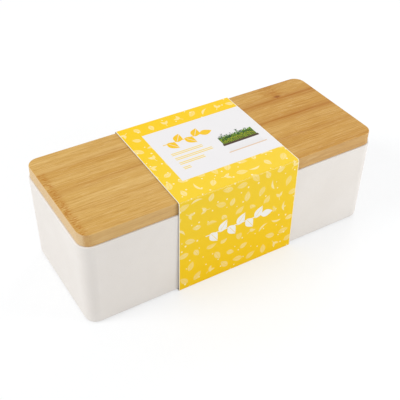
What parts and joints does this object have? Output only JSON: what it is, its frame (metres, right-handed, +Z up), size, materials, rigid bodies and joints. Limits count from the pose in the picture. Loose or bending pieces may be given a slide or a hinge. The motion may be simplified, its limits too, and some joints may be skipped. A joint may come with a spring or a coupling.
{
  "type": "windowsill grow kit",
  "caption": "Closed windowsill grow kit: long white trough with a thick bamboo board lid, held by a yellow card sleeve round the middle.",
  "frame": {"origin": "centre of the sleeve's underside, on the surface that the kit stands on", "axes": "+X along the kit's length, -Y out of the long front face, +Z up"},
  "size_m": [0.2924, 0.1186, 0.0986],
  "materials": {
    "moulded_trough": "matte",
    "bamboo": "satin",
    "printed_card": "satin",
    "coir": "matte",
    "sachet_paper": "matte",
    "seed": "satin",
    "guide_paper": "matte"
  },
  "bodies": {
    "box": {"planter_trough": "moulded_trough", "bamboo_lid": "bamboo", "coir_disc_1": "coir", "coir_disc_2": "coir", "coir_disc_3": "coir", "coir_disc_4": "coir", "coir_disc_5": "coir", "coir_disc_6": "coir", "coir_disc_7": "coir", "coir_disc_8": "coir", "coir_disc_9": "coir", "coir_disc_10": "coir", "seed_sachet_1": "sachet_paper", "seed_sachet_2": "sachet_paper", "seed_sachet_3": "sachet_paper", "seeds_1": "seed", "seeds_2": "seed", "seeds_3": "seed", "growing_guide": "guide_paper"},
    "sleeve": {"card_sleeve": "printed_card"}
  },
  "joints": [
    {"name": "sleeve_slide", "type": "slide", "parent": "box", "child": "sleeve", "axis": [1, 0, 0], "range_m": [-0.21, 0.21]}
  ]
}
